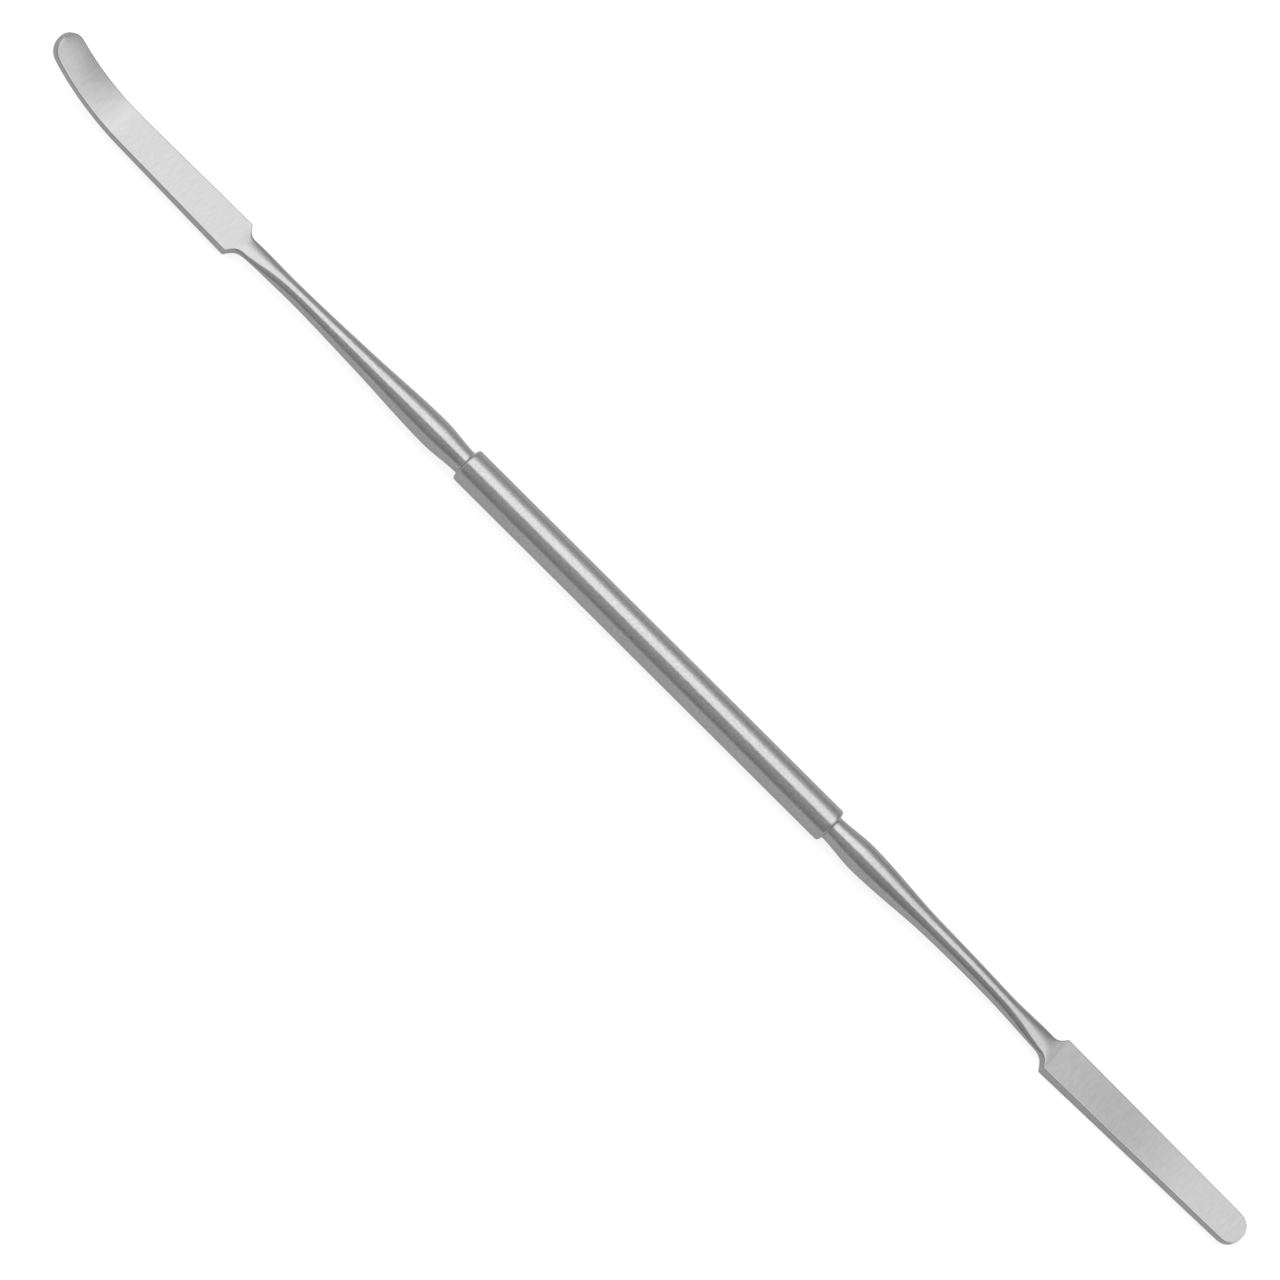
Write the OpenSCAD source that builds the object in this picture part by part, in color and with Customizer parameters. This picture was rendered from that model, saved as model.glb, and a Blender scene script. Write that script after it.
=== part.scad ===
// Septum elevator: a round steel handle with a tapered shank and a flat blade at each end.
// It is forged, turned and ground from one bar, so it is one solid.
// X runs along the instrument, Y across the blades and Z up from the table that it lies on.
// The origin is on the handle's axis, half way along it. The curved blade is at -X.

/* [Handle] */
// Length of the round handle
handle_len = 67.8; // [50:0.1:90]
// Diameter of the round handle
handle_d = 5.2; // [4.8:0.1:8]
// Rounding of the edge at each end of the handle
handle_edge = 0.45; // [0.1:0.05:0.6]

/* [Shanks] */
// Distance from the handle to the shoulder of either blade
shank_len = 42.4; // [40:0.1:60]
// Diameter of a shank where it leaves the handle
neck_d = 3.6; // [2.8:0.1:3.8]
// Diameter of the swelling beside the handle
belly_d = 4.4; // [4.1:0.05:4.7]
// Distance from the handle to the fullest part of the swelling
belly_at = 5.7; // [4:0.1:8]
// Distance from the handle to the middle gauge of the taper
mid_at = 19.3; // [14:0.1:24]
// Diameter of the curved blade's shank at the middle gauge
curved_mid_d = 3.25; // [2.9:0.05:3.8]
// Diameter of the straight blade's shank at the middle gauge
straight_mid_d = 2.9; // [2.7:0.05:3.6]
// Distance from the handle to the slimmest part of a shank
waist_at = 32; // [28:0.5:36]
// Diameter of a shank at its slimmest part
waist_d = 2.56; // [2.2:0.02:2.7]
// Concave fillet where a shank meets the handle
root_fillet = 0.3; // [0.1:0.05:0.45]

/* [Blades] */
// Width of a blade at its shoulder
shoulder_w = 5.6; // [4.5:0.05:6.5]
// Width of a blade where its tip begins to round
tip_w = 4.75; // [3.5:0.05:5.5]
// Radius of the concave flare between the neck and the shoulder, seen from above
flare_r = 2.3; // [2:0.1:4]
// Radius of the shoulder's corner, seen from above
ear_r = 0.35; // [0.1:0.05:0.6]
// Length of the rounded tip
tip_run = 2.5; // [1.5:0.05:3.5]
// Fullness of the tip: 2 is an ellipse, more is squarer
tip_power = 2.3; // [2:0.1:4]
// Rounding of the long edges of a blade
edge_r = 0.15; // [0.05:0.01:0.3]

/* [Necks] */
// Width of the curved blade's neck where its flare begins
curved_neck_w = 2.9; // [2.7:0.02:3.4]
// Width of the straight blade's neck where its flare begins
straight_neck_w = 3.14; // [2.7:0.02:3.6]
// Length over which the curved blade's neck thickens in front, from its shoulder
curved_front_run = 13; // [10:0.5:18]
// Length over which the straight blade's neck thickens in front, from its shoulder
straight_front_run = 20; // [12:0.5:24]
// Length over which the curved blade's neck thickens behind, from its shoulder
curved_back_run = 5; // [4:0.1:8]
// Length over which the straight blade's neck thins behind, from its shoulder
straight_back_run = 24; // [18:0.5:30]
// Share of a neck's thickness that lies in front of its widest line, at the shoulder
front_share = 0.18; // [0.15:0.01:0.5]
// Length over which the widest line comes to the middle of the shank, from the shoulder
share_run = 9.8; // [6:0.2:14]
// Length over which a rounded neck turns into the flat bar of the blade
square_run = 3; // [2:0.1:5]
// Edge rounding of the flat bar where the flare begins
neck_edge_r = 0.55; // [0.2:0.05:0.8]

/* [Curved blade] */
// Length of the curved blade from shoulder to tip, measured along its curve
curved_len = 35.3; // [28:0.1:45]
// Thickness of the curved blade at its shoulder
curved_shoulder_t = 1.6; // [1.2:0.02:2]
// Thickness of the curved blade at its tip
curved_tip_t = 1.06; // [0.8:0.02:1.4]
// Depth of the curved blade's middle plane below the handle's axis, at its shoulder
curved_sink = 0.8; // [0:0.05:1]
// Rise of the curved blade's middle plane from its shoulder to its tip, before the bend
curved_rise = 0.65; // [0:0.05:1.5]
// Distance from the shoulder to the start of the bend
bend_at = 19.5; // [12:0.1:26]
// Radius of the bend
bend_r = 21; // [15:0.5:60]
// Height of the crown across the front of the bent tip
crown = 0.06; // [0:0.01:0.15]
// Length over which the crown grows, from the start of the bend
crown_run = 9; // [4:0.5:12]

/* [Straight blade] */
// Length of the straight blade from shoulder to tip
straight_len = 34.2; // [28:0.1:45]
// Thickness of the straight blade at its shoulder
straight_shoulder_t = 2.1; // [1.4:0.02:2.4]
// Thickness of the straight blade at its tip
straight_tip_t = 1.36; // [0.8:0.02:1.6]
// Rise of the straight blade's middle plane from its shoulder to its tip
straight_rise = 0.8; // [0:0.05:1.5]

/* [Hidden] */

// The straight blade's back is level with the handle's underside, so both rest on the table.
straight_sink = (handle_d - straight_shoulder_t) / 2;

// Length of shank that is buried in the handle
root_sink = 1.5;
// Depth inside the handle at which the fillet's first ring lies, clear of the handle's end face
root_start = 0.05;
// How soon a neck's thickness changes: 1 is even, less is sooner
curved_front_power = 0.7;
straight_front_power = 0.65;
curved_back_power = 1.4;
straight_back_power = 0.55;

// Points on each ring of a lofted end: flat groups in front and behind, arcs at the sides
flat_pts = 7;
side_pts = 8;
// Half angle that a flat group spans where the shank is still round
flat_span = 40;

// Rings in each stretch of a lofted end
fillet_rings = 4;
shank_rings = 18;
flare_rings = 9;
ear_rings = 4;
blade_rings = 16;
tip_rings = 9;
// Last angle of the rounded tip, just short of closing to a point
tip_end_angle = 87;

function mix(a, b, v) = a + (b - a) * v;
function clamp01(v) = max(0, min(1, v));
function ease(v) = v * v * (3 - 2 * v);
function degrees(arc, r) = arc / r * 180 / PI;

// Slope at gauge i of a list of [distance, value]: flat at the ends and at a swelling or waist
function chord(g, i) = (g[i + 1][1] - g[i][1]) / (g[i + 1][0] - g[i][0]);
function slope(g, i) =
    i == 0 || i == len(g) - 1 || chord(g, i - 1) * chord(g, i) <= 0
        ? 0
        : 2 * chord(g, i - 1) * chord(g, i) / (chord(g, i - 1) + chord(g, i));

// Smooth curve through the gauges, with no overshoot between them
function through(g, u, i = 0) =
    u <= g[0][0] ? g[0][1] :
    i == len(g) - 1 ? g[i][1] :
    u > g[i + 1][0] ? through(g, u, i + 1) :
    let (
        span = g[i + 1][0] - g[i][0],
        v = (u - g[i][0]) / span
    )
    mix(g[i][1], g[i + 1][1], ease(v))
        + span * v * (1 - v) * ((1 - v) * slope(g, i) - v * slope(g, i + 1));

// Point on a circle about [0, z], at an angle from straight up towards +Y
function on_circle(r, z, angle) = [r * sin(angle), z + r * cos(angle)];

// Half width of a blade with a rounded tip, at a distance past its shoulder
function blade_half(past, blade_len) =
    let (
        side = mix(shoulder_w, tip_w, clamp01(past / (blade_len - tip_run))) / 2,
        w = clamp01((past - blade_len + tip_run) / tip_run)
    )
    side * pow(1 - pow(w, tip_power), 1 / tip_power);

// One end of the instrument, from inside the handle to the blade's tip, running along +X.
// gauges lists [distance, radius] along the shank. front and back are [length, power] of the
// stretch over which the neck changes its thickness on that side. A bend_radius of 0 leaves
// the blade straight and its front flat.
module lofted_end(gauges, neck_w, front, back, blade_len, blade_t, sink, rise, bend_radius = 0) {
    end = shank_len + blade_len;
    bend_from = shank_len + bend_at;

    // The flare is a hollow arc that meets the round arc of the shoulder's corner
    arcs = flare_r + ear_r;
    flare_turn = acos(1 - (shoulder_w - neck_w) / 2 / arcs);
    flare_from = shank_len - arcs * sin(flare_turn);
    ear_from = shank_len - ear_r * sin(flare_turn);

    function shank_r(u) =
        through(gauges, u) + root_fillet - sqrt(pow(root_fillet, 2)
            - pow(root_fillet * (1 - clamp01(u / root_fillet)), 2));

    // Half width of the neck, which spreads from the waist to the flare
    function neck_half(u) =
        shank_r(u) + (neck_w - waist_d) / 2
            * ease(clamp01((u - waist_at) / (flare_from - waist_at)));

    // Half width, seen from above
    function half_width(u) =
        u >= shank_len ? blade_half(u - shank_len, blade_len) :
        u >= ear_from ? shoulder_w / 2 - ear_r + sqrt(pow(ear_r, 2) - pow(shank_len - u, 2)) :
        u >= flare_from ? neck_w / 2 + flare_r - sqrt(pow(flare_r, 2) - pow(u - flare_from, 2)) :
        neck_half(u);

    // Heights of the front and back faces, side being 1 or -1
    function face_z(u, side) =
        let (
            along = clamp01((u - shank_len) / blade_len),
            blade = rise * along - sink + side * mix(blade_t[0], blade_t[1], along) / 2,
            change = side > 0 ? front : back,
            ramp = pow(clamp01((shank_len - u) / change[0]), change[1])
        )
        mix(blade, side * shank_r(u), ease(ramp));

    // Ring of [y, z] points of the rounded neck and shank: a half ellipse in front of the
    // widest line and another behind it
    function round_ring(u) =
        let (
            a = neck_half(u),
            front_z = face_z(u, 1),
            back_z = face_z(u, -1),
            share = mix(front_share, 0.5, ease(clamp01((shank_len - u) / share_run))),
            widest_z = mix(front_z, back_z, share),
            side_span = 180 - 2 * flat_span,
            right = [
                for (i = [1:side_pts])
                    flat_span + side_span * (i - 0.5) / side_pts
            ],
            angles = concat(
                [for (i = [0:flat_pts - 1]) flat_span * (2 * i / (flat_pts - 1) - 1)],
                right,
                [for (i = [0:flat_pts - 1]) 180 + flat_span * (2 * i / (flat_pts - 1) - 1)],
                [for (i = [side_pts - 1:-1:0]) -right[i]]
            )
        )
        [
            for (v = angles)
                let (reach = (cos(v) > 0 ? front_z : back_z) - widest_z)
                [a * sin(v), widest_z + reach * abs(cos(v))]
        ];

    // Ring of [y, z] points on a flat bar with rounded edges
    function flat_ring(u) =
        let (
            a = half_width(u),
            front_z = face_z(u, 1),
            back_z = face_z(u, -1),
            rounding = ease(clamp01((shank_len - u) / (shank_len - flare_from))),
            swell = bend_radius == 0 ? 0 : crown * ease(clamp01((u - bend_from) / crown_run)),
            edge_z = front_z - swell,
            e = min(mix(edge_r, neck_edge_r, rounding), 0.45 * (edge_z - back_z), 0.9 * a),
            corner_pts = side_pts / 2,
            step = 90 / corner_pts,
            top = [
                for (i = [1:corner_pts])
                    [a - e, edge_z - e] + e * [sin(step * i), cos(step * i)]
            ],
            bottom = [
                for (i = [corner_pts:-1:1])
                    [a - e, back_z + e] + e * [sin(step * i), -cos(step * i)]
            ],
            right = concat(top, bottom),
            across = [for (i = [0:flat_pts - 1]) 2 * i / (flat_pts - 1) - 1]
        )
        concat(
            [for (v = across) [(a - e) * v, front_z - swell * pow(v, 2)]],
            right,
            [for (v = across) [-(a - e) * v, back_z]],
            [for (i = [side_pts - 1:-1:0]) [-right[i][0], right[i][1]]]
        );

    // Point in space of a ring point, carried round the bend if it lies past its start
    function placed(u, p) =
        bend_radius == 0 || u <= bend_from
            ? [u, p[0], p[1]]
            : let (turn = degrees(u - bend_from, bend_radius))
              [
                  bend_from + (bend_radius - p[1]) * sin(turn),
                  p[0],
                  bend_radius - (bend_radius - p[1]) * cos(turn)
              ];

    function ring(u) =
        let (
            squareness = ease(clamp01(1 - (shank_len - u) / square_run)),
            round_pts = round_ring(min(u, shank_len)),
            bar_pts = flat_ring(u)
        )
        [
            for (i = [0:len(round_pts) - 1])
                placed(u, mix(round_pts[i], bar_pts[i], squareness))
        ];

    stations = concat(
        [-root_sink, -root_start],
        [for (i = [1:fillet_rings - 1]) root_fillet * (1 - cos(90 * i / fillet_rings))],
        [for (i = [0:shank_rings - 1]) mix(root_fillet, flare_from, i / shank_rings)],
        [for (i = [0:flare_rings - 1])
            flare_from + flare_r * sin(flare_turn * i / flare_rings)],
        [for (i = [0:ear_rings - 1])
            shank_len - ear_r * sin(flare_turn * (1 - i / ear_rings))],
        [for (i = [0:blade_rings - 1]) mix(shank_len, end - tip_run, i / blade_rings)],
        [for (i = [0:tip_rings])
            end - tip_run + tip_run * pow(sin(tip_end_angle * i / tip_rings), 2 / tip_power)]
    );

    n = 2 * (flat_pts + side_pts);
    last = len(stations) - 1;
    root_middle = placed(stations[0], [0, 0]);
    tip_middle = placed(end, [0, (face_z(end, 1) + face_z(end, -1)) / 2]);
    points = concat([for (u = stations) each ring(u)], [root_middle, tip_middle]);
    walls = [
        for (k = [0:last - 1], i = [0:n - 1])
            let (j = (i + 1) % n)
            [k * n + i, k * n + j, (k + 1) * n + j, (k + 1) * n + i]
    ];
    root_cap = [for (i = [0:n - 1]) [(i + 1) % n, i, len(points) - 2]];
    tip_cap = [
        for (i = [0:n - 1])
            [last * n + i, last * n + (i + 1) % n, len(points) - 1]
    ];
    polyhedron(points, concat(root_cap, walls, tip_cap));
}

// Round handle along X, with rounded end edges
module handle() {
    r = handle_d / 2;
    rotate([0, 90, 0])
        rotate_extrude($fn = 96)
            difference() {
                translate([0, -handle_len / 2])
                    square([r, handle_len]);
                for (side = [-1, 1])
                    translate([r - handle_edge, side * (handle_len / 2 - handle_edge)])
                        difference() {
                            translate([0, side > 0 ? 0 : -handle_edge])
                                square(handle_edge);
                            circle(r = handle_edge, $fn = 48);
                        }
            }
}

// Gauges of a shank, with its own diameter at the middle of the taper
function shank_gauges(mid_d) = [
    [0, neck_d / 2],
    [belly_at, belly_d / 2],
    [mid_at, mid_d / 2],
    [waist_at, waist_d / 2],
];

module curved_end() {
    translate([-handle_len / 2, 0, 0])
        mirror([1, 0, 0])
            lofted_end(
                shank_gauges(curved_mid_d), curved_neck_w,
                [curved_front_run, curved_front_power], [curved_back_run, curved_back_power],
                curved_len, [curved_shoulder_t, curved_tip_t], curved_sink, curved_rise, bend_r
            );
}

module straight_end() {
    translate([handle_len / 2, 0, 0])
        lofted_end(
            shank_gauges(straight_mid_d), straight_neck_w,
            [straight_front_run, straight_front_power], [straight_back_run, straight_back_power],
            straight_len, [straight_shoulder_t, straight_tip_t], straight_sink, straight_rise
        );
}

module septum_elevator() {
    color([0.78, 0.78, 0.79]) {
        handle();
        curved_end();
        straight_end();
    }
}

septum_elevator();
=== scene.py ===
"""Septum elevator on a white table, seen from the photo's viewing angle."""

import math

import bpy
import numpy as np
from mathutils import Matrix, Vector


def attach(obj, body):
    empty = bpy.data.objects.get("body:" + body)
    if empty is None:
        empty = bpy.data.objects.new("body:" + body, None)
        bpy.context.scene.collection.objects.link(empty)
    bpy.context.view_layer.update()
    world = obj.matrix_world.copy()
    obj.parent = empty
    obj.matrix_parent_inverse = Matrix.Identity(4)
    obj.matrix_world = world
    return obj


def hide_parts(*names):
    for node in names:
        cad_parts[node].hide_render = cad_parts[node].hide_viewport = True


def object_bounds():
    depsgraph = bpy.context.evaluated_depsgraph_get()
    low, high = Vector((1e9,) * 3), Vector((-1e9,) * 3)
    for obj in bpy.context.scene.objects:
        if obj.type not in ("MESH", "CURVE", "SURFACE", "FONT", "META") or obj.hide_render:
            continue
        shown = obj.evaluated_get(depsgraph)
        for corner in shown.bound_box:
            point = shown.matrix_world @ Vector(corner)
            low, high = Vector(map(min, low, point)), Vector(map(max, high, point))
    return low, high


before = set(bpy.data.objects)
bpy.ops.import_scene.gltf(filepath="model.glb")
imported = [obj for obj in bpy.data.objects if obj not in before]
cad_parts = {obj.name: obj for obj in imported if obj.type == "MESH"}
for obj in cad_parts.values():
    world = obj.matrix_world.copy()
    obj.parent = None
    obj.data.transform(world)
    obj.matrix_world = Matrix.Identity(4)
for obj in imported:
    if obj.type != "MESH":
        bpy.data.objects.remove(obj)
cad_box = [list(corner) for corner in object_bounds()]

MM = 0.001

# Sizes in millimetres, the same as in the part's source
HANDLE_LEN = 67.8
HANDLE_D = 5.2
HANDLE_EDGE = 0.45
SHANK_LEN = 42.4
NECK_D = 3.6
BELLY_D = 4.4
BELLY_AT = 5.7
MID_AT = 19.3
WAIST_AT = 32.0
WAIST_D = 2.56
ROOT_FILLET = 0.3
SHOULDER_W = 5.6
TIP_W = 4.75
FLARE_R = 2.3
EAR_R = 0.35
TIP_RUN = 2.5
TIP_POWER = 2.3
EDGE_R = 0.15
NECK_EDGE_R = 0.55
EDGE_LIMIT = 0.45
FRONT_SHARE = 0.18
SHARE_RUN = 9.8
SQUARE_RUN = 3.0
STRAIGHT_SHOULDER_T = 2.1
CROWN = 0.06
CROWN_RUN = 9.0

CURVED_END = {
    "mid_d": 3.25,
    "neck_w": 2.9,
    "front": (13.0, 0.7),
    "back": (5.0, 1.4),
    "blade_len": 35.3,
    "blade_t": (1.6, 1.06),
    "sink": 0.8,
    "rise": 0.65,
    "bend_at": 19.5,
    "bend_r": 21.0,
}
STRAIGHT_END = {
    "mid_d": 2.9,
    "neck_w": 3.14,
    "front": (20.0, 0.65),
    "back": (24.0, 0.55),
    "blade_len": 34.2,
    "blade_t": (STRAIGHT_SHOULDER_T, 1.36),
    "sink": (HANDLE_D - STRAIGHT_SHOULDER_T) / 2,
    "rise": 0.8,
    "bend_at": 0.0,
    "bend_r": 0.0,
}

# Points on each ring: groups in front and behind, which span this half angle on the round
# part, and arcs at the sides
FLAT_PTS = 25
SIDE_PTS = 28
FLAT_SPAN = 40.0

# Rings in each stretch
FILLET_RINGS = 8
SHANK_RINGS = 130
FLARE_RINGS = 44
EAR_RINGS = 16
BLADE_RINGS = 110
TIP_RINGS = 50
HANDLE_RINGS = 40
EDGE_RINGS = 10
TIP_END_ANGLE = 88.5


def mix(a, b, v):
    return a + (b - a) * v


def clamp01(v):
    return max(0.0, min(1.0, v))


def ease(v):
    return v * v * (3 - 2 * v)


def through(gauges, u):
    """Smooth curve through [distance, value] gauges, with no overshoot between them."""

    def chord(i):
        return (gauges[i + 1][1] - gauges[i][1]) / (gauges[i + 1][0] - gauges[i][0])

    def slope(i):
        if i == 0 or i == len(gauges) - 1 or chord(i - 1) * chord(i) <= 0:
            return 0.0
        return 2 * chord(i - 1) * chord(i) / (chord(i - 1) + chord(i))

    if u <= gauges[0][0]:
        return gauges[0][1]
    for i in range(len(gauges) - 1):
        if u <= gauges[i + 1][0]:
            span = gauges[i + 1][0] - gauges[i][0]
            v = (u - gauges[i][0]) / span
            straight = mix(gauges[i][1], gauges[i + 1][1], ease(v))
            return straight + span * v * (1 - v) * (
                (1 - v) * slope(i) - v * slope(i + 1)
            )
    return gauges[-1][1]


class LoftedEnd:
    """One end of the instrument, from the handle's end face to the blade's tip."""

    def __init__(
        self, mid_d, neck_w, front, back, blade_len, blade_t, sink, rise, bend_at, bend_r
    ):
        self.gauges = [
            (0.0, NECK_D / 2),
            (BELLY_AT, BELLY_D / 2),
            (MID_AT, mid_d / 2),
            (WAIST_AT, WAIST_D / 2),
        ]
        self.neck_w = neck_w
        self.front = front
        self.back = back
        self.blade_len = blade_len
        self.blade_t = blade_t
        self.sink = sink
        self.rise = rise
        self.bend_from = SHANK_LEN + bend_at
        self.bend_r = bend_r
        self.end = SHANK_LEN + blade_len
        arcs = FLARE_R + EAR_R
        self.flare_turn = math.acos(1 - (SHOULDER_W - neck_w) / 2 / arcs)
        self.flare_from = SHANK_LEN - arcs * math.sin(self.flare_turn)
        self.ear_from = SHANK_LEN - EAR_R * math.sin(self.flare_turn)

    def shank_r(self, u):
        fillet = ROOT_FILLET * (1 - clamp01(u / ROOT_FILLET))
        return through(self.gauges, u) + ROOT_FILLET - math.sqrt(ROOT_FILLET**2 - fillet**2)

    def neck_half(self, u):
        spread = ease(clamp01((u - WAIST_AT) / (self.flare_from - WAIST_AT)))
        return self.shank_r(u) + (self.neck_w - WAIST_D) / 2 * spread

    def half_width(self, u):
        if u >= SHANK_LEN:
            past = u - SHANK_LEN
            side = mix(SHOULDER_W, TIP_W, clamp01(past / (self.blade_len - TIP_RUN))) / 2
            w = clamp01((past - self.blade_len + TIP_RUN) / TIP_RUN)
            return side * (1 - w**TIP_POWER) ** (1 / TIP_POWER)
        if u >= self.ear_from:
            return SHOULDER_W / 2 - EAR_R + math.sqrt(EAR_R**2 - (SHANK_LEN - u) ** 2)
        if u >= self.flare_from:
            return self.neck_w / 2 + FLARE_R - math.sqrt(FLARE_R**2 - (u - self.flare_from) ** 2)
        return self.neck_half(u)

    def face_z(self, u, side):
        along = clamp01((u - SHANK_LEN) / self.blade_len)
        blade = self.rise * along - self.sink + side * mix(*self.blade_t, along) / 2
        run, power = self.front if side > 0 else self.back
        ramp = clamp01((SHANK_LEN - u) / run) ** power
        return mix(blade, side * self.shank_r(u), ease(ramp))

    def round_ring(self, u):
        a = self.neck_half(u)
        front, back = self.face_z(u, 1), self.face_z(u, -1)
        share = mix(FRONT_SHARE, 0.5, ease(clamp01((SHANK_LEN - u) / SHARE_RUN)))
        widest = mix(front, back, share)
        ring = []
        for v in ring_angles(FLAT_SPAN):
            upright = math.cos(math.radians(v))
            reach = (front if upright > 0 else back) - widest
            ring.append((a * math.sin(math.radians(v)), widest + reach * abs(upright)))
        return ring

    def flat_ring(self, u):
        a = self.half_width(u)
        front, back = self.face_z(u, 1), self.face_z(u, -1)
        rounding = ease(clamp01((SHANK_LEN - u) / (SHANK_LEN - self.flare_from)))
        swell = 0.0
        if self.bend_r:
            swell = CROWN * ease(clamp01((u - self.bend_from) / CROWN_RUN))
        edge = front - swell
        e = mix(EDGE_R, NECK_EDGE_R, rounding)
        e = min(e, EDGE_LIMIT * (edge - back), EDGE_LIMIT * 2 * a)
        corner = SIDE_PTS // 2
        step = math.radians(90 / corner)
        right = [
            (a - e + e * math.sin(step * i), edge - e + e * math.cos(step * i))
            for i in range(1, corner + 1)
        ]
        right += [
            (a - e + e * math.sin(step * i), back + e - e * math.cos(step * i))
            for i in range(corner, 0, -1)
        ]
        spread = [2 * i / (FLAT_PTS - 1) - 1 for i in range(FLAT_PTS)]
        ring = [((a - e) * v, front - swell * v**2) for v in spread]
        ring += right
        ring += [(-(a - e) * v, back) for v in spread]
        ring += [(-y, z) for y, z in reversed(right)]
        return ring

    def placed(self, u, y, z):
        if self.bend_r == 0 or u <= self.bend_from:
            return (u, y, z)
        turn = (u - self.bend_from) / self.bend_r
        reach = self.bend_r - z
        return (
            self.bend_from + reach * math.sin(turn),
            y,
            self.bend_r - reach * math.cos(turn),
        )

    def ring(self, u):
        squareness = ease(clamp01(1 - (SHANK_LEN - u) / SQUARE_RUN))
        round_pts = self.round_ring(min(u, SHANK_LEN))
        flat = self.flat_ring(u)
        return [
            self.placed(u, mix(a[0], b[0], squareness), mix(a[1], b[1], squareness))
            for a, b in zip(round_pts, flat)
        ]

    def stations(self):
        us = [
            ROOT_FILLET * (1 - math.cos(math.radians(90 * i / FILLET_RINGS)))
            for i in range(FILLET_RINGS)
        ]
        us += [mix(ROOT_FILLET, self.flare_from, i / SHANK_RINGS) for i in range(SHANK_RINGS)]
        us += [
            self.flare_from + FLARE_R * math.sin(self.flare_turn * i / FLARE_RINGS)
            for i in range(FLARE_RINGS)
        ]
        us += [
            SHANK_LEN - EAR_R * math.sin(self.flare_turn * (1 - i / EAR_RINGS))
            for i in range(EAR_RINGS)
        ]
        us += [mix(SHANK_LEN, self.end - TIP_RUN, i / BLADE_RINGS) for i in range(BLADE_RINGS)]
        for i in range(TIP_RINGS + 1):
            share = math.sin(math.radians(TIP_END_ANGLE * i / TIP_RINGS)) ** (2 / TIP_POWER)
            us.append(self.end - TIP_RUN + TIP_RUN * share)
        return us

    def rings(self):
        return [self.ring(u) for u in self.stations()]

    def tip(self):
        z = (self.face_z(self.end, 1) + self.face_z(self.end, -1)) / 2
        return self.placed(self.end, 0.0, z)


def ring_angles(half):
    """Angles from straight up, round a ring: front group, right arc, back group, left arc."""
    right = [half + (180 - 2 * half) * (i + 0.5) / SIDE_PTS for i in range(SIDE_PTS)]
    group = [half * (2 * i / (FLAT_PTS - 1) - 1) for i in range(FLAT_PTS)]
    return group + right + [180 + v for v in group] + [-v for v in reversed(right)]


def handle_rings():
    """Rings of the handle from its -X end to its +X end, rounded edges included."""
    r = HANDLE_D / 2
    half = HANDLE_LEN / 2
    rows = [
        (-half + HANDLE_EDGE * (1 - math.cos(a)), r - HANDLE_EDGE * (1 - math.sin(a)))
        for a in [math.radians(90 * i / EDGE_RINGS) for i in range(EDGE_RINGS)]
    ]
    rows += [
        (mix(-half + HANDLE_EDGE, half - HANDLE_EDGE, i / HANDLE_RINGS), r)
        for i in range(HANDLE_RINGS + 1)
    ]
    rows += [(-x, radius) for x, radius in reversed(rows[:EDGE_RINGS])]
    return [
        [
            (x, radius * math.sin(math.radians(a)), radius * math.cos(math.radians(a)))
            for a in ring_angles(FLAT_SPAN)
        ]
        for x, radius in rows
    ]


def vertex_normals(points, faces):
    """Normals weighted by face area, so that big flats stay flat beside small roundings."""
    quads = np.array([f if len(f) == 4 else (*f, f[0]) for f in faces])
    corners = points[quads]
    across = np.cross(corners[:, 2] - corners[:, 0], corners[:, 3] - corners[:, 1])
    normals = np.zeros_like(points)
    for k in range(4):
        np.add.at(normals, quads[:, k], across)
    return normals / np.linalg.norm(normals, axis=1)[:, None]


# Slight roll of the hand-ground front of the straight blade: [distance from handle, degrees]
FRONT_ROLL = [(36.0, 0.0), (43.0, 4.6), (54.0, 5.2), (62.0, 3.0), (68.0, 0.8), (76.6, 0.4)]


def roll_front(normals, points, n):
    """Turn the shading of the straight blade's front a little, as hand grinding leaves it."""
    for k in range(len(points) // n):
        u = points[k * n][0] / MM - HANDLE_LEN / 2
        if u < FRONT_ROLL[0][0]:
            continue
        turn = math.radians(through(FRONT_ROLL, u))
        for i in range(k * n, k * n + FLAT_PTS):
            x, y, z = normals[i]
            normals[i] = (
                x,
                y * math.cos(turn) + z * math.sin(turn),
                z * math.cos(turn) - y * math.sin(turn),
            )
    return normals


def build_instrument():
    curved = LoftedEnd(**CURVED_END)
    straight = LoftedEnd(**STRAIGHT_END)
    half = HANDLE_LEN / 2
    rings = [
        [(-half - x, y, z) for x, y, z in ring] for ring in reversed(curved.rings())
    ]
    rings += handle_rings()
    rings += [[(half + x, y, z) for x, y, z in ring] for ring in straight.rings()]
    n = len(rings[0])
    points = [p for ring in rings for p in ring]
    x, y, z = curved.tip()
    points.append((-half - x, y, z))
    x, y, z = straight.tip()
    points.append((half + x, y, z))
    last = len(rings) - 1
    faces = []
    for k in range(last):
        for i in range(n):
            j = (i + 1) % n
            faces.append((k * n + i, k * n + j, (k + 1) * n + j, (k + 1) * n + i))
    for i in range(n):
        j = (i + 1) % n
        faces.append((j, i, len(points) - 2))
        faces.append((last * n + i, last * n + j, len(points) - 1))
    points = np.array(points) * MM
    mesh = bpy.data.meshes.new("instrument")
    mesh.from_pydata(points.tolist(), [], faces)
    mesh.shade_smooth()
    normals = roll_front(vertex_normals(points, faces), points, n)
    mesh.normals_split_custom_set_from_vertices(normals.tolist())
    mesh.update()
    obj = bpy.data.objects.new("instrument", mesh)
    bpy.context.collection.objects.link(obj)
    return obj


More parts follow.
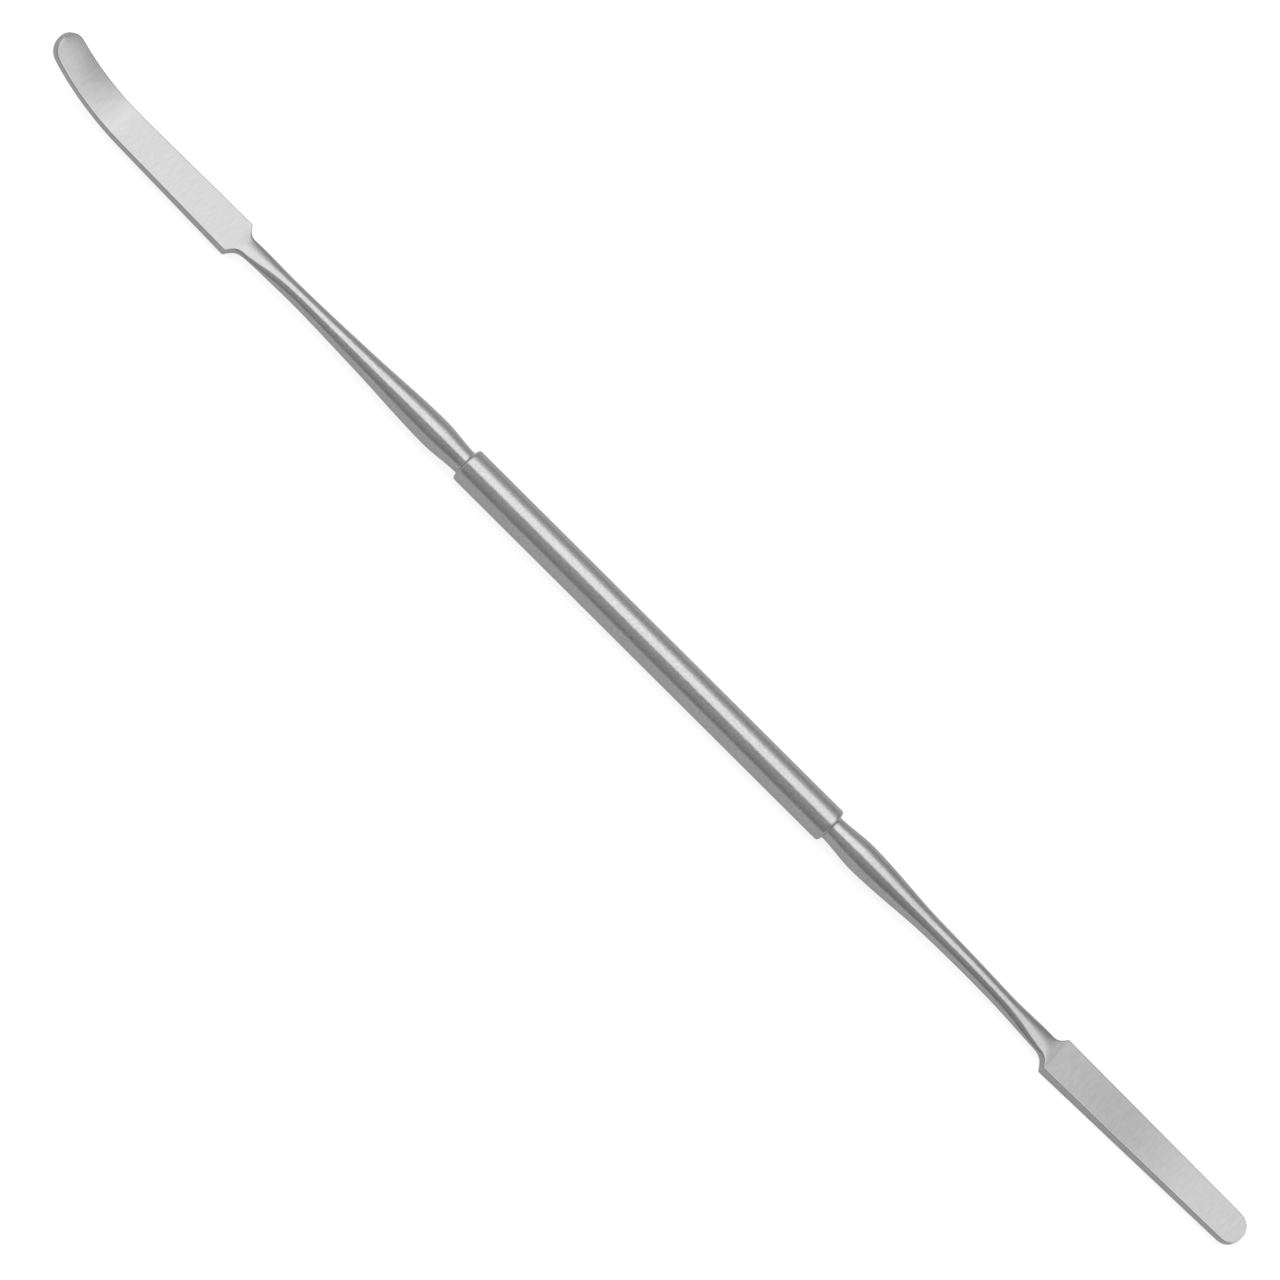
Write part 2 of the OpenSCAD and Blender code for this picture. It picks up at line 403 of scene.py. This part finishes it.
class Nodes:
    """Short way to add and join the nodes of one tree."""

    def __init__(self, tree):
        self.tree = tree
        tree.nodes.clear()

    def add(self, kind, **settings):
        node = self.tree.nodes.new(kind)
        for key, value in settings.items():
            setattr(node, key, value)
        return node

    def link(self, source, target):
        self.tree.links.new(source, target)

    def math(self, operation, a, b=None):
        node = self.add("ShaderNodeMath", operation=operation)
        for socket, value in zip(node.inputs, (a, b)):
            if value is None:
                continue
            if isinstance(value, (int, float)):
                socket.default_value = value
            else:
                self.link(value, socket)
        return node.outputs[0]

    def noise(self, vector, detail):
        node = self.add("ShaderNodeTexNoise")
        node.inputs["Scale"].default_value = 1.0
        node.inputs["Detail"].default_value = detail
        node.inputs["Roughness"].default_value = 0.6
        self.link(vector, node.inputs["Vector"])
        return node.outputs["Fac"]

    def stretched(self, vector, scale):
        node = self.add("ShaderNodeMapping")
        node.inputs["Scale"].default_value = scale
        self.link(vector, node.inputs["Vector"])
        return node.outputs["Vector"]

    def to_range(self, value, low, high, new_low, new_high):
        node = self.add("ShaderNodeMapRange")
        for name, number in (
            ("From Min", low),
            ("From Max", high),
            ("To Min", new_low),
            ("To Max", new_high),
        ):
            node.inputs[name].default_value = number
        self.link(value, node.inputs["Value"])
        return node.outputs["Result"]


# Tones of the steel in the low and the high spots of its grain
STEEL_DARK = (0.42, 0.42, 0.425, 1.0)
STEEL_LIGHT = (0.5, 0.5, 0.505, 1.0)
STEEL_ROUGHNESS = (0.13, 0.23)
# Values of the grain between which the roughness and the tone change
GRAIN_RANGE = (0.3, 0.7)
TONE_RANGE = (0.35, 0.65)

# Fineness of the grain along and across the instrument, and where the marks on the blades start
BRUSH_MARKS = (2400, 550, 550)
SPECKLE = (2600, 3600, 3600)
MARKS_FROM = 0.066
MARKS_FULL = 0.076
# The marks are fainter than the speckle, so their values are drawn together to this range
MARKS_RANGE = (0.3, 0.7)
GRAIN_DEPTH = 0.00002
GRAIN_STRENGTH = 0.2


def steel_material():
    material = bpy.data.materials.new("satin_steel")
    material.use_nodes = True
    net = Nodes(material.node_tree)
    out = net.add("ShaderNodeOutputMaterial")
    shader = net.add("ShaderNodeBsdfPrincipled")
    net.link(shader.outputs[0], out.inputs["Surface"])
    shader.inputs["Metallic"].default_value = 1.0
    coords = net.add("ShaderNodeTexCoord").outputs["Object"]
    along = net.add("ShaderNodeSeparateXYZ")
    net.link(coords, along.inputs[0])
    distance = net.math("ABSOLUTE", along.outputs["X"])
    on_blade = net.to_range(distance, MARKS_FROM, MARKS_FULL, 0.0, 1.0)
    brushed = net.noise(net.stretched(coords, BRUSH_MARKS), detail=3.0)
    speckle = net.noise(net.stretched(coords, SPECKLE), detail=2.0)
    grain = net.add("ShaderNodeMix")
    net.link(on_blade, grain.inputs["Factor"])
    net.link(speckle, grain.inputs["A"])
    net.link(net.to_range(brushed, 0.0, 1.0, *MARKS_RANGE), grain.inputs["B"])
    tone = net.add("ShaderNodeValToRGB")
    stops = tone.color_ramp.elements
    for stop, place, colour in zip(stops, TONE_RANGE, (STEEL_DARK, STEEL_LIGHT)):
        stop.position = place
        stop.color = colour
    net.link(grain.outputs["Result"], tone.inputs["Fac"])
    net.link(tone.outputs["Color"], shader.inputs["Base Color"])
    net.link(
        net.to_range(grain.outputs["Result"], *GRAIN_RANGE, *STEEL_ROUGHNESS),
        shader.inputs["Roughness"],
    )
    bump = net.add("ShaderNodeBump")
    bump.inputs["Strength"].default_value = GRAIN_STRENGTH
    bump.inputs["Distance"].default_value = GRAIN_DEPTH
    net.link(grain.outputs["Result"], bump.inputs["Height"])
    net.link(bump.outputs[0], shader.inputs["Normal"])
    return material


def seen_light(net, to_camera, to_steel):
    """Light that is added only where the background is seen, straight or in the steel."""
    path = net.add("ShaderNodeLightPath")
    mirrored = net.math(
        "MAXIMUM", path.outputs["Is Glossy Ray"], path.outputs["Is Transmission Ray"]
    )
    return net.math(
        "ADD",
        net.math("MULTIPLY", path.outputs["Is Camera Ray"], to_camera),
        net.math("MULTIPLY", mirrored, to_steel),
    )


FLOOR_HALF = 6.0
FLOOR_COLOUR = (0.36, 0.36, 0.36, 1.0)
# Light that brings the table up to white, for the camera and as the steel shows it
FLOOR_GLOW = 0.82
FLOOR_GLOW_IN_STEEL = 0.36


def build_floor(height):
    corners = [
        (x * FLOOR_HALF, y * FLOOR_HALF, height) for x, y in ((-1, -1), (1, -1), (1, 1), (-1, 1))
    ]
    mesh = bpy.data.meshes.new("floor")
    mesh.from_pydata(corners, [], [(0, 1, 2, 3)])
    obj = bpy.data.objects.new("floor", mesh)
    bpy.context.collection.objects.link(obj)
    material = bpy.data.materials.new("white_table")
    material.use_nodes = True
    net = Nodes(material.node_tree)
    out = net.add("ShaderNodeOutputMaterial")
    lit = net.add("ShaderNodeBsdfDiffuse")
    lit.inputs["Color"].default_value = FLOOR_COLOUR
    glow = net.add("ShaderNodeEmission")
    both = net.add("ShaderNodeAddShader")
    net.link(seen_light(net, FLOOR_GLOW, FLOOR_GLOW_IN_STEEL), glow.inputs["Strength"])
    net.link(lit.outputs[0], both.inputs[0])
    net.link(glow.outputs[0], both.inputs[1])
    net.link(both.outputs[0], out.inputs["Surface"])
    mesh.materials.append(material)
    return obj


# Roll of the photo's view about the instrument's axis, from straight above
ROLL = math.radians(25)
TOWARDS_CAMERA = Vector((0, -math.sin(ROLL), math.cos(ROLL)))
ACROSS = Vector((0, math.cos(ROLL), math.sin(ROLL)))
ALONG = Vector((1, 0, 0))

# Light of the studio by its angle from the camera, across the instrument, in degrees
TENT_RADIUS = 1.4
TENT_FROM = -66.0
TENT_TO = 116.0
TENT_LIGHT = [
    (-66, 0.80),
    (-58, 0.52),
    (-47, 0.35),
    (-34, 0.43),
    (-15, 0.53),
    (9.5, 0.60),
    (12.5, 1.72),
    (50, 1.72),
    (55, 1.42),
    (61, 1.12),
    (68, 0.86),
    (76, 0.66),
    (89, 0.54),
    (106, 0.56),
    (116, 0.70),
]
# Level that stands for white in the colour ramp
TENT_PEAK = 2.0
# Along the instrument, in metres: how bright the light is, and how many degrees it is turned
TENT_ALONG = [
    (-2.5, 0.9, 0.0),
    (-0.5, 0.93, 0.0),
    (-0.16, 0.93, 0.0),
    (-0.06, 1.0, 0.0),
    (0.02, 0.94, -2.0),
    (0.12, 0.9, -2.0),
    (0.2, 0.88, 0.0),
    (0.44, 0.79, 0.0),
    (0.74, 0.75, 0.0),
    (1.1, 0.75, -2.0),
    (1.6, 0.76, -14.0),
    (2.2, 0.72, -26.0),
    (3.2, 0.72, -34.0),
]
TENT_STEPS = 60


def build_tent():
    """Half tube of soft light over the table, unseen by the camera."""
    rows = []
    for i in range(TENT_STEPS + 1):
        angle = math.radians(mix(TENT_FROM, TENT_TO, i / TENT_STEPS))
        out = TOWARDS_CAMERA * math.cos(angle) + ACROSS * math.sin(angle)
        rows += [tuple(out * TENT_RADIUS + ALONG * x) for x, _, _ in TENT_ALONG]
    n = len(TENT_ALONG)
    corners = [
        (i * n + k, i * n + k + 1, (i + 1) * n + k + 1, (i + 1) * n + k)
        for i in range(TENT_STEPS)
        for k in range(n - 1)
    ]
    mesh = bpy.data.meshes.new("tent")
    mesh.from_pydata(rows, [], corners)
    light = mesh.uv_layers.new(name="light")
    for loop in mesh.loops:
        i, k = divmod(loop.vertex_index, n)
        _, bright, turn = TENT_ALONG[k]
        light.data[loop.index].uv = (bright, i / TENT_STEPS + turn / (TENT_TO - TENT_FROM))
    obj = bpy.data.objects.new("tent", mesh)
    bpy.context.collection.objects.link(obj)
    material = bpy.data.materials.new("tent_light")
    material.use_nodes = True
    net = Nodes(material.node_tree)
    out = net.add("ShaderNodeOutputMaterial")
    glow = net.add("ShaderNodeEmission")
    uv = net.add("ShaderNodeUVMap", uv_map="light")
    split = net.add("ShaderNodeSeparateXYZ")
    ramp = net.add("ShaderNodeValToRGB")
    net.link(uv.outputs[0], split.inputs[0])
    net.link(split.outputs["Y"], ramp.inputs["Fac"])
    stops = ramp.color_ramp.elements
    while len(stops) < len(TENT_LIGHT):
        stops.new(0.5)
    for stop, (angle, level) in zip(stops, TENT_LIGHT):
        stop.position = (angle - TENT_FROM) / (TENT_TO - TENT_FROM)
        stop.color = (level / TENT_PEAK,) * 3 + (1.0,)
    bright = net.math("MULTIPLY", split.outputs["X"], TENT_PEAK)
    net.link(net.math("MULTIPLY", ramp.outputs["Color"], bright), glow.inputs["Strength"])
    net.link(glow.outputs[0], out.inputs["Surface"])
    mesh.materials.append(material)
    obj.visible_camera = False
    return obj


# Strength of the world on everything, and what the camera and the steel see on top of it
WORLD_LIGHT = 0.48
WORLD_GLOW = 0.52
WORLD_GLOW_IN_STEEL = 0.32


def build_world():
    world = bpy.data.worlds.new("studio")
    bpy.context.scene.world = world
    world.use_nodes = True
    net = Nodes(world.node_tree)
    out = net.add("ShaderNodeOutputWorld")
    back = net.add("ShaderNodeBackground")
    back.inputs["Color"].default_value = (1.0, 1.0, 1.0, 1.0)
    seen = seen_light(net, WORLD_GLOW, WORLD_GLOW_IN_STEEL)
    net.link(net.math("ADD", seen, WORLD_LIGHT), back.inputs["Strength"])
    net.link(back.outputs[0], out.inputs["Surface"])


# The photo's frame: millimetres per pixel, the pixel of the origin, and how the axes lie in it
PHOTO_SIZE = 1280
MM_PER_PIXEL = 0.1317
ORIGIN_PIXEL = (648.4, 645.2)
AXIS_RIGHT = 0.70857
AXIS_DOWN = 0.70564
CAMERA_DISTANCE = 0.58


def build_camera():
    data = bpy.data.cameras.new("camera")
    camera = bpy.data.objects.new("camera", data)
    bpy.context.collection.objects.link(camera)
    bpy.context.scene.camera = camera
    right = ALONG * AXIS_RIGHT + ACROSS * AXIS_DOWN
    up = ACROSS * AXIS_RIGHT - ALONG * AXIS_DOWN
    right.normalize()
    up.normalize()
    step = MM_PER_PIXEL * MM
    centre = right * (PHOTO_SIZE / 2 - ORIGIN_PIXEL[0]) * step
    centre += up * (ORIGIN_PIXEL[1] - PHOTO_SIZE / 2) * step
    turned = Matrix((right, up, TOWARDS_CAMERA)).transposed().to_4x4()
    camera.matrix_world = (
        Matrix.Translation(centre + TOWARDS_CAMERA * CAMERA_DISTANCE) @ turned
    )
    data.lens = data.sensor_width * CAMERA_DISTANCE / (PHOTO_SIZE * step)
    data.clip_start = 0.01
    data.clip_end = 20.0


instrument = build_instrument()
instrument.data.materials.append(steel_material())
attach(instrument, "root")
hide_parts("septum_elevator")

build_floor(cad_box[0][2])
build_tent()
build_world()
build_camera()
bpy.context.scene.view_settings.view_transform = "Standard"
